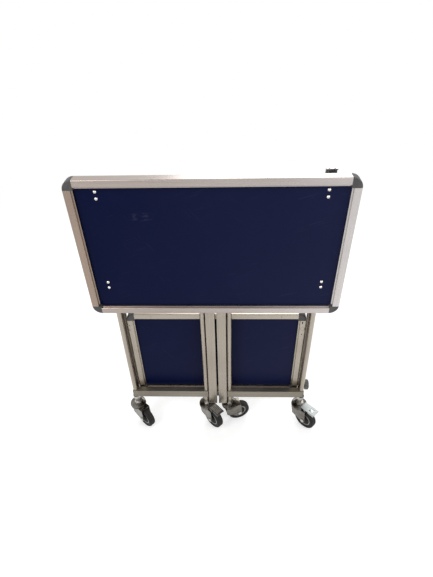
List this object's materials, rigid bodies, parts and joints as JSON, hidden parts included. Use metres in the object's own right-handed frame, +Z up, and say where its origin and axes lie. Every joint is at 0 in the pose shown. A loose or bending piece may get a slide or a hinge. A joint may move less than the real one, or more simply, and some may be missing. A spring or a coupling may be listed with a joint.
{
  "type": "folding serving trolley",
  "caption": "Folding serving trolley: framed tabletop that lifts on a rear frame, two gates that swing out, raising support bars, stored shelf and swivel casters.",
  "frame": {"origin": "on the floor, under the middle of the folded trolley", "axes": "+X to the right along the tabletop, +Y to the rear where the shelf is stored, +Z up; the hanging tabletop faces -Y"},
  "size_m": [0.7042, 0.1054, 0.974],
  "materials": {
    "aluminium_frame": "satin anodised",
    "laminate": "satin navy laminate on board",
    "corner_plastic": "moulded, matt",
    "bolt_steel": "nickel plated",
    "zinc_steel": "zinc plated",
    "fork_chrome": "bright plated",
    "nylon": "moulded nylon",
    "hub_plastic": "moulded, matt",
    "tyre_rubber": "grey-black rubber",
    "pedal_plastic": "ribbed, matt"
  },
  "bodies": {
    "rear_frame": {"left_post": "aluminium_frame", "right_post": "aluminium_frame", "rear_lower_rail": "aluminium_frame", "rear_upper_rail": "aluminium_frame", "post_caps": "corner_plastic", "hinge_collars": "zinc_steel", "hinge_brackets": "zinc_steel", "latch_plate": "zinc_steel", "frame_screws": "bolt_steel"},
    "tabletop": {"tabletop_panel": "laminate", "tabletop_rim": "aluminium_frame", "tabletop_corners": "corner_plastic", "tabletop_bolts": "bolt_steel", "hinge_straps": "zinc_steel", "hinge_pins": "bolt_steel", "support_catches": "zinc_steel"},
    "shelf": {"shelf_panel": "laminate", "shelf_rim": "aluminium_frame", "shelf_corners": "corner_plastic"},
    "clamp_knob": {"shelf_knob": "nylon"},
    "left_gate": {"left_gate_rail": "aluminium_frame", "left_gate_outer_stile": "aluminium_frame", "left_gate_inner_stile": "aluminium_frame", "left_gate_top_rail": "aluminium_frame", "left_gate_sockets": "aluminium_frame", "left_gate_end_plugs": "aluminium_frame", "left_bar_shoes": "nylon", "left_caster_stems": "zinc_steel"},
    "left_bar": {"left_support_bar": "aluminium_frame", "left_bar_caps": "aluminium_frame"},
    "right_gate": {"right_gate_rail": "aluminium_frame", "right_gate_outer_stile": "aluminium_frame", "right_gate_inner_stile": "aluminium_frame", "right_gate_top_rail": "aluminium_frame", "right_gate_sockets": "aluminium_frame", "right_gate_end_plugs": "aluminium_frame", "right_bar_shoes": "nylon", "right_caster_stems": "zinc_steel"},
    "right_bar": {"right_support_bar": "aluminium_frame", "right_bar_caps": "aluminium_frame"},
    "left_caster": {"left_fork": "fork_chrome", "left_axle": "zinc_steel"},
    "left_wheel": {"left_hub": "hub_plastic", "left_tyre": "tyre_rubber"},
    "centre_left_caster": {"centre_left_fork": "fork_chrome", "centre_left_axle": "zinc_steel"},
    "centre_left_wheel": {"centre_left_hub": "hub_plastic", "centre_left_tyre": "tyre_rubber"},
    "centre_right_caster": {"centre_right_fork": "fork_chrome", "centre_right_axle": "zinc_steel"},
    "centre_right_wheel": {"centre_right_hub": "hub_plastic", "centre_right_tyre": "tyre_rubber"},
    "right_caster": {"right_fork": "fork_chrome", "right_axle": "zinc_steel"},
    "right_wheel": {"right_hub": "hub_plastic", "right_tyre": "tyre_rubber"},
    "centre_left_brake": {"centre_left_pedal": "pedal_plastic"},
    "right_brake": {"right_pedal": "zinc_steel"}
  },
  "joints": [
    {"name": "tabletop_lift", "type": "hinge", "parent": "rear_frame", "child": "tabletop", "pos_m": [0, -0.00179, 0.94], "axis": [-1, 0, 0], "range_deg": [0, 90]},
    {"name": "left_gate_swing", "type": "hinge", "parent": "rear_frame", "child": "left_gate", "pos_m": [-0.292, 0.01021, 0.3], "axis": [0, 0, -1], "range_deg": [0, 90]},
    {"name": "right_gate_swing", "type": "hinge", "parent": "rear_frame", "child": "right_gate", "pos_m": [0.292, 0.01021, 0.3], "axis": [0, 0, 1], "range_deg": [0, 90]},
    {"name": "left_bar_lift", "type": "slide", "parent": "left_gate", "child": "left_bar", "axis": [0, 0, 1], "range_m": [0, 0.3645]},
    {"name": "right_bar_lift", "type": "slide", "parent": "right_gate", "child": "right_bar", "axis": [0, 0, 1], "range_m": [0, 0.3645]},
    {"name": "shelf_draw", "type": "slide", "parent": "rear_frame", "child": "shelf", "axis": [0, 1, 0], "range_m": [0, 0.25]},
    {"name": "knob_turn", "type": "hinge", "parent": "rear_frame", "child": "clamp_knob", "pos_m": [0.291, 0.03372, 0.168], "axis": [1, 0, 0], "continuous": true},
    {"name": "left_swivel", "type": "hinge", "parent": "left_gate", "child": "left_caster", "pos_m": [-0.292, 0.01021, 0.1], "axis": [0, 0, 1], "continuous": true},
    {"name": "centre_left_swivel", "type": "hinge", "parent": "left_gate", "child": "centre_left_caster", "pos_m": [-0.0405, 0.01021, 0.1], "axis": [0, 0, 1], "range_deg": [-120, 10]},
    {"name": "centre_right_swivel", "type": "hinge", "parent": "right_gate", "child": "centre_right_caster", "pos_m": [0.0405, 0.01021, 0.1], "axis": [0, 0, 1], "range_deg": [-60, 100]},
    {"name": "right_swivel", "type": "hinge", "parent": "right_gate", "child": "right_caster", "pos_m": [0.292, 0.01021, 0.1], "axis": [0, 0, 1], "continuous": true},
    {"name": "left_spin", "type": "hinge", "parent": "left_caster", "child": "left_wheel", "pos_m": [-0.26673, -0.01254, 0.04], "axis": [0.6691, 0.7431, 0], "continuous": true},
    {"name": "centre_left_spin", "type": "hinge", "parent": "centre_left_caster", "child": "centre_left_wheel", "pos_m": [-0.01688, -0.01425, 0.04], "axis": [0.7193, 0.6947, 0], "continuous": true},
    {"name": "centre_right_spin", "type": "hinge", "parent": "centre_right_caster", "child": "centre_right_wheel", "pos_m": [0.07284, 0.02072, 0.04], "axis": [-0.309, 0.9511, 0], "continuous": true},
    {"name": "right_spin", "type": "hinge", "parent": "right_caster", "child": "right_wheel", "pos_m": [0.31604, -0.01383, 0.04], "axis": [0.7071, 0.7071, 0], "continuous": true},
    {"name": "centre_left_brake_press", "type": "hinge", "parent": "centre_left_caster", "child": "centre_left_brake", "pos_m": [-0.01688, -0.01425, 0.0945], "axis": [0.7193, 0.6947, 0], "range_deg": [0, 8]},
    {"name": "right_brake_press", "type": "hinge", "parent": "right_caster", "child": "right_brake", "pos_m": [0.31604, -0.01383, 0.0945], "axis": [0.7071, 0.7071, 0], "range_deg": [0, 8]}
  ]
}
